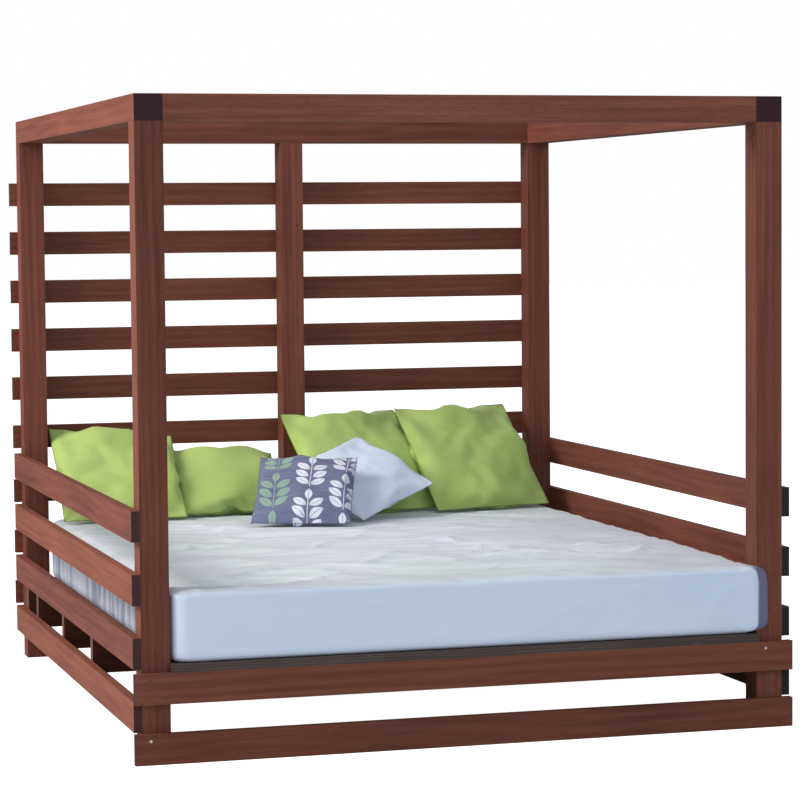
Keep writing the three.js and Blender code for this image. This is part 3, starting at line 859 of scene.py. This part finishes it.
# %% Stuff the covers
CELLS = 44
STEPS = 34


def add_stuffing(piece, filling):
    """Pressure that dies away as the cover reaches the volume of its filling, in cubic metres."""
    cloth = piece.modifiers.new("stuffing", "CLOTH")
    cloth.settings.quality = 6
    cloth.settings.mass = 0.15
    cloth.settings.tension_stiffness = 40
    cloth.settings.compression_stiffness = 20
    cloth.settings.shear_stiffness = 8
    cloth.settings.bending_stiffness = 0.06
    cloth.settings.tension_damping = 12
    cloth.settings.air_damping = 3
    cloth.settings.use_pressure = True
    cloth.settings.uniform_pressure_force = 0.0
    cloth.settings.use_pressure_volume = True
    cloth.settings.target_volume = filling
    cloth.settings.pressure_factor = 5.0
    cloth.settings.effector_weights.gravity = 0
    cloth.collision_settings.use_collision = False
    cloth.collision_settings.use_self_collision = False


FILL_SHARE = 0.52
covers = {}
for order, (name, facts) in enumerate(CUSHIONS.items()):
    width, height, thickness = facts["size"]
    points, faces, rim = flat_cover(width, height, CELLS, 20 + order)
    mesh = bpy.data.meshes.new(name + "_cover")
    mesh.from_pydata([tuple(point) for point in points], [], faces)
    piece = bpy.data.objects.new(name + "_cover", mesh)
    bpy.context.scene.collection.objects.link(piece)
    add_stuffing(piece, width * height * thickness * FILL_SHARE)
    covers[name] = (piece, faces, rim)

scene = bpy.context.scene
for step in range(1, STEPS + 1):
    scene.frame_set(step)
graph = bpy.context.evaluated_depsgraph_get()
stuffed = {}
for name, (piece, faces, rim) in covers.items():
    shaped = piece.evaluated_get(graph).data
    stuffed[name] = np.array([vertex.co for vertex in shaped.vertices])
    spread = stuffed[name].max(0) - stuffed[name].min(0)
    print(name, "after stuffing:", [round(value * 1000) for value in spread])
    bpy.data.objects.remove(piece)
scene.frame_set(1)

# %% [markdown]
# Cushion cloth
# The green covers are a slubby plain weave: thicker threads turn up here and there and run across. The
# weave follows the cover's own plane, so it leans with the cushion. Thread by thread detail is a bump,
# and the slubs and the wear of the colour are noise that is long in one direction.

# %% Plain woven covers
def woven(name, colour, deep, slub, thread=0.0016):
    """A plain weave in a colour, with a deeper colour in its shade and a lighter one on its slubs."""
    finish = Finish(name)
    x, y, z = finish.place()
    turns = 2 * math.pi / thread
    warp = (x * turns).sine()
    weft = (y * turns).sine()
    weave = warp * weft
    across = finish.noise(finish.vector(x * 22, y * 420, z * 6), 2.0)
    upright = finish.noise(finish.vector(x * 420, y * 22, z * 6), 2.0)
    slubs = across.smooth(0.58, 0.74) * 0.8 + upright.smooth(0.60, 0.76) * 0.4
    faded = finish.noise(finish.vector(x * 7, y * 7, z * 7), 3.0)
    base = finish.mixed(faded.smooth(0.3, 0.7) * 0.55, colour, deep)
    base = finish.mixed(slubs * 0.55, base, slub)
    # Painted shade: the gaps between the threads take the deeper colour.
    base = finish.mixed((1 - weave.size()).smooth(0.2, 1.0) * 0.25, base, deep)
    rumple = finish.noise(finish.vector(x * 26, y * 26, z * 26), 3.0, 0.6)
    finish.relief(weave * 0.14 + slubs * 0.30 + rumple * 0.35, 0.0020, 0.55)
    finish.surface(sheen_weight=0.2, sheen_roughness=0.5, specular_ior_level=0.2)
    return finish.surface(base_color=base, roughness=0.86 - slubs * 0.1)


green_cloth = woven("green_weave", (0.47, 0.61, 0.19), (0.36, 0.51, 0.12), (0.60, 0.72, 0.32))
pale_cloth = woven("pale_weave", (0.71, 0.82, 0.97), (0.62, 0.73, 0.93), (0.82, 0.90, 1.0), 0.0012)

# %% [markdown]
# The printed cover
# The small cushion in front has a print of pale and sage leaves on slate blue. This one is a common leaf
# print of its own: short sprigs with paired, pointed leaves, in columns that drop by half a repeat. One leaf
# is a lens: across it, the distance to its middle line is less than a width that shrinks towards both tips.
# Every leaf of a sprig is that lens, moved and turned.

# %% Leaf print
def leaf(finish, x, y, at, turn, length, width):
    """1 inside a pointed leaf, 0 outside it and along its midrib."""
    across = x - at[0]
    up = y - at[1]
    cosine = math.cos(math.radians(turn))
    sine = math.sin(math.radians(turn))
    along = across * cosine + up * sine
    aside = (up * cosine - across * sine).size()
    inside = width / 2 * (1 - (along * (2 / length)) ** 2) - aside
    rib = aside.smooth(0.0004, 0.0010)
    return inside.smooth(0.0, 0.0009) * rib


def leaf_print(name):
    finish = Finish(name)
    x, y, z = finish.place()
    column_width = 0.122
    repeat = 0.176
    column = (x / column_width + 0.32).floor()
    own_x = x - (column + 0.18) * column_width
    drop = column.left_over(2) * (repeat / 2)
    own_y = (y + drop + 0.035).left_over(repeat) - repeat / 2
    leaves = leaf(finish, own_x, own_y, (0.0, 0.058), 90, 0.052, 0.027)
    for height, reach in ((0.022, 0.029), (-0.016, 0.031), (-0.054, 0.027)):
        leaves = leaves.most(leaf(finish, own_x, own_y, (reach, height), 36, 0.060, 0.030))
        leaves = leaves.most(leaf(finish, own_x, own_y, (-reach, height), 144, 0.060, 0.030))
    stem = (0.0013 - own_x.size()).smooth(-0.0004, 0.0004) * (own_y + 0.082).smooth(0.0, 0.001)
    stem = stem * (0.036 - own_y).smooth(0.0, 0.001)
    printed = leaves.most(stem)
    ink_wear = finish.noise(finish.vector(x * 300, y * 300, z * 10), 2.0).smooth(0.25, 0.45)
    weave = (x * 4400).sine() * (y * 4400).sine()
    ground_tone = finish.noise(finish.vector(x * 9, y * 160, z * 5), 3.0)
    ground = finish.mixed(ground_tone.smooth(0.3, 0.7), (0.125, 0.140, 0.255), (0.175, 0.190, 0.315))
    ink = finish.mixed(column.left_over(3).smooth(1.4, 1.6), (0.74, 0.77, 0.88), (0.27, 0.42, 0.33))
    colour = finish.mixed(printed * (0.82 + ink_wear * 0.18), ground, ink)
    rumple = finish.noise(finish.vector(x * 26, y * 26, z * 26), 3.0, 0.6)
    finish.relief(weave * 0.1 + printed * 0.08 + rumple * 0.4, 0.002, 0.5)
    finish.surface(sheen_weight=0.15, sheen_roughness=0.5, specular_ior_level=0.2)
    return finish.surface(base_color=colour, roughness=0.84 - printed * 0.1)


printed_cloth = leaf_print("leaf_print")

# %% [markdown]
# Shaping and sewing the cushions
# The stuffed covers are set to their size and put in place. Cloth that has been leaned on is not even, so
# each cover gets dips along its upper edge and a few short puckers, as in the photo. One level of
# subdivision rounds the cloth, while a crease keeps the rim a sharp, sewn edge with its line of thread.

# %% Thread along the rim
def sewing_thread(name, colour):
    finish = Finish(name)
    x, y, z = finish.place()
    stitch = ((x + y) * 1900).sine()
    finish.relief(stitch, 0.0004, 0.6)
    # Painted shade: between the stitches the thread is darkened to six tenths of its colour.
    stitch_gap_shade = tuple(value * 0.6 for value in colour)
    return finish.surface(base_color=finish.mixed(stitch.smooth(-0.4, 0.6), stitch_gap_shade, colour), roughness=0.7)


def sew_rim(cushion, points, rim, finish, radius=0.0011):
    curve = bpy.data.curves.new(cushion.name + "_seam", "CURVE")
    curve.dimensions = "3D"
    curve.bevel_depth = radius
    curve.bevel_resolution = 2
    line = curve.splines.new("POLY")
    line.points.add(len(rim) - 1)
    for spot, index in zip(line.points, rim):
        spot.co = (*points[index], 1.0)
    line.use_cyclic_u = True
    curve.materials.append(finish)
    seam = bpy.data.objects.new(curve.name, curve)
    bpy.context.scene.collection.objects.link(seam)
    seam.matrix_world = cushion.matrix_world
    return seam


# %% Shape one cushion
def straighten(shaped, rim, axis, along, keep):
    """Moves the rim's drawn-in sides outwards along one axis, and the cloth behind them by less."""
    half = np.abs(shaped[:, axis]).max()
    for side in (-1, 1):
        edge = [index for index in rim if shaped[index, axis] * side > half * 0.75]
        edge.sort(key=lambda index: shaped[index, along])
        drawn = np.interp(shaped[:, along], shaped[edge, along], np.abs(shaped[edge, axis]))
        wanted = half - (half - drawn) * keep[side]
        share = soft_step(shaped[:, axis] * side / half, 0.15, 0.85)
        shaped[:, axis] *= 1 + (wanted / drawn - 1) * share
    return shaped


def settle_cover(points, rim, size, dips, layer, roll):
    """Sets a stuffed cover to its size, and adds the dips of its upper edge and a few creases."""
    low = points.min(0)
    high = points.max(0)
    shaped = (points - (low + high) / 2) / (high - low) * np.array(size) * np.array([0.995, 0.985, 0.94])
    shaped = straighten(shaped, rim, 0, 1, {-1: 0.15, 1: 0.15})
    shaped = straighten(shaped, rim, 1, 0, {-1: 0.3 if roll else 0.05, 1: 0.4})
    u = shaped[:, 0] / (size[0] / 2)
    v = shaped[:, 1] / (size[1] / 2)
    upper = soft_step(v, -0.2, 1.0) ** 2
    for centre, depth, width in dips:
        shaped[:, 1] -= depth * upper * np.exp(-((u - centre) / width) ** 2)
    inner = (1 - np.abs(u)) * (1 - np.abs(v))
    rumple = gradient_noise(u * 1.4, v * 1.4 + np.sign(shaped[:, 2]) * 5, layer) * 0.004
    rumple = rumple * soft_step(inner, 0.0, 0.12)
    near_side = np.exp(-(1 - np.abs(u)) / 0.13) * soft_step(1 - np.abs(u), 0.0, 0.05)
    near_end = np.exp(-(1 - np.abs(v)) / 0.13) * soft_step(1 - np.abs(v), 0.0, 0.05)
    puckers = gradient_noise(v * 7, u * 2, layer + 60) * near_side
    puckers = puckers + gradient_noise(u * 7, v * 2, layer + 70) * near_end
    shaped[:, 2] += (rumple + puckers * 0.006) * np.sign(shaped[:, 2])
    return shaped


DIPS = {
    "cushion_green_1": [(-0.55, 0.010, 0.14), (0.35, 0.008, 0.16), (1.05, 0.048, 0.55)],
    "cushion_green_2": [(-0.72, 0.010, 0.16), (0.05, 0.008, 0.16), (1.05, 0.042, 0.36)],
    "cushion_green_3": [(-0.50, 0.012, 0.14), (0.05, 0.007, 0.10), (0.50, 0.009, 0.12)],
    "cushion_green_4": [(-0.40, 0.006, 0.22), (0.35, 0.005, 0.14)],
    "cushion_diamond": [],
    "cushion_printed": [(-0.35, 0.004, 0.20), (0.45, 0.004, 0.22)],
}
COVERINGS = {
    "cushion_green_1": (green_cloth, "green_fabric"),
    "cushion_green_2": (green_cloth, "green_fabric"),
    "cushion_green_3": (green_cloth, "green_fabric"),
    "cushion_green_4": (green_cloth, "green_fabric"),
    "cushion_diamond": (pale_cloth, "pale_fabric"),
    "cushion_printed": (printed_cloth, "printed_fabric"),
}
THREADS = {
    "green_fabric": sewing_thread("green_thread", (0.20, 0.33, 0.06)),
    "pale_fabric": sewing_thread("pale_thread", (0.52, 0.58, 0.76)),
    "printed_fabric": sewing_thread("slate_thread", (0.14, 0.15, 0.26)),
}
for order, (name, (finish, fabric)) in enumerate(COVERINGS.items()):
    facts = CUSHIONS[name]
    _, faces, rim = covers[name]
    points = settle_cover(stuffed[name], rim, facts["size"], DIPS[name], 40 + order, facts["roll"])
    cushion = new_piece(name + "_stuffed", points, faces, finish)
    cushion.matrix_world = facts["pose"]
    crease = cushion.data.attributes.new("crease_edge", "FLOAT", "EDGE")
    on_rim = set(rim)
    sharp = [float(edge.vertices[0] in on_rim and edge.vertices[1] in on_rim) for edge in cushion.data.edges]
    crease.data.foreach_set("value", sharp)
    inside = cushion.vertex_groups.new(name="inside")
    inside.add([index for index in range(len(points)) if index not in on_rim], 1.0, "REPLACE")
    calming = cushion.modifiers.new("calming", "SMOOTH")
    calming.factor = 0.5
    calming.iterations = 7
    calming.vertex_group = "inside"
    rounding = cushion.modifiers.new("rounding", "SUBSURF")
    rounding.levels = 1
    rounding.render_levels = 1
    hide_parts(name)
    seam = sew_rim(cushion, points, rim, THREADS[fabric])
    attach(cushion, facts["body"])
    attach(seam, facts["body"])
print("cushions sewn:", len(COVERINGS))
